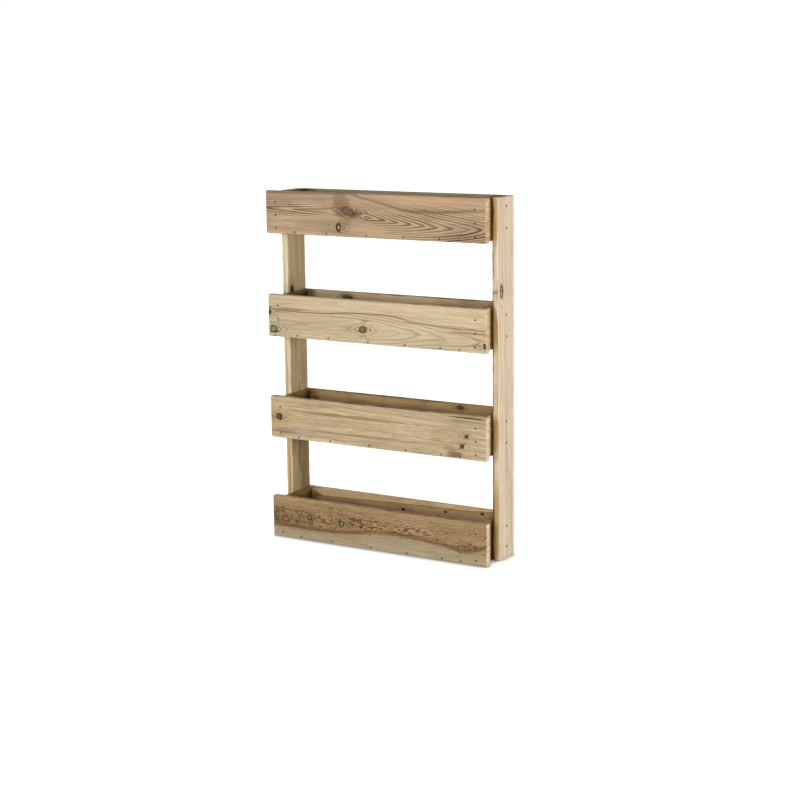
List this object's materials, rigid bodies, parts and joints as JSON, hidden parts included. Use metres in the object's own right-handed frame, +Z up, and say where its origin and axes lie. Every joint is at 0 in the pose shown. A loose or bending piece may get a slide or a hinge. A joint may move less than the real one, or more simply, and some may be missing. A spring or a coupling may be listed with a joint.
{
  "type": "vertical planter",
  "caption": "Free-standing vertical planter: open wooden troughs, nailed from planed boards, stacked with gaps between two flat posts, for growing plants against a wall.",
  "frame": {"origin": "on the ground, under the middle of the planter's box", "axes": "+Z up, +X to the right seen from the front, +Y to the back, towards a wall"},
  "size_m": [0.85, 0.193, 1.2],
  "materials": {
    "front_timber": "planed pressure-treated pine, knots and growth rings, greenish tan, matt",
    "post_timber": "planed pressure-treated pine, straight grain, pale greenish tan, matt",
    "inner_timber": "planed pressure-treated pine, brown-olive, matt",
    "nail_steel": "dull galvanised steel nail heads, darkened"
  },
  "bodies": {
    "root": {"left_post": "post_timber", "right_post": "post_timber", "tier_1_front_board": "front_timber", "tier_1_back_board": "inner_timber", "tier_1_left_end_board": "inner_timber", "tier_1_right_end_board": "inner_timber", "tier_1_floor_board": "inner_timber", "tier_1_wall_nails": "nail_steel", "tier_1_floor_nails": "nail_steel", "tier_1_post_nails": "nail_steel", "tier_2_front_board": "front_timber", "tier_2_back_board": "inner_timber", "tier_2_left_end_board": "inner_timber", "tier_2_right_end_board": "inner_timber", "tier_2_floor_board": "inner_timber", "tier_2_wall_nails": "nail_steel", "tier_2_floor_nails": "nail_steel", "tier_2_post_nails": "nail_steel", "tier_3_front_board": "front_timber", "tier_3_back_board": "inner_timber", "tier_3_left_end_board": "inner_timber", "tier_3_right_end_board": "inner_timber", "tier_3_floor_board": "inner_timber", "tier_3_wall_nails": "nail_steel", "tier_3_floor_nails": "nail_steel", "tier_3_post_nails": "nail_steel", "tier_4_front_board": "front_timber", "tier_4_back_board": "inner_timber", "tier_4_left_end_board": "inner_timber", "tier_4_right_end_board": "inner_timber", "tier_4_floor_board": "inner_timber", "tier_4_wall_nails": "nail_steel", "tier_4_floor_nails": "nail_steel", "tier_4_post_nails": "nail_steel"}
  },
  "joints": []
}
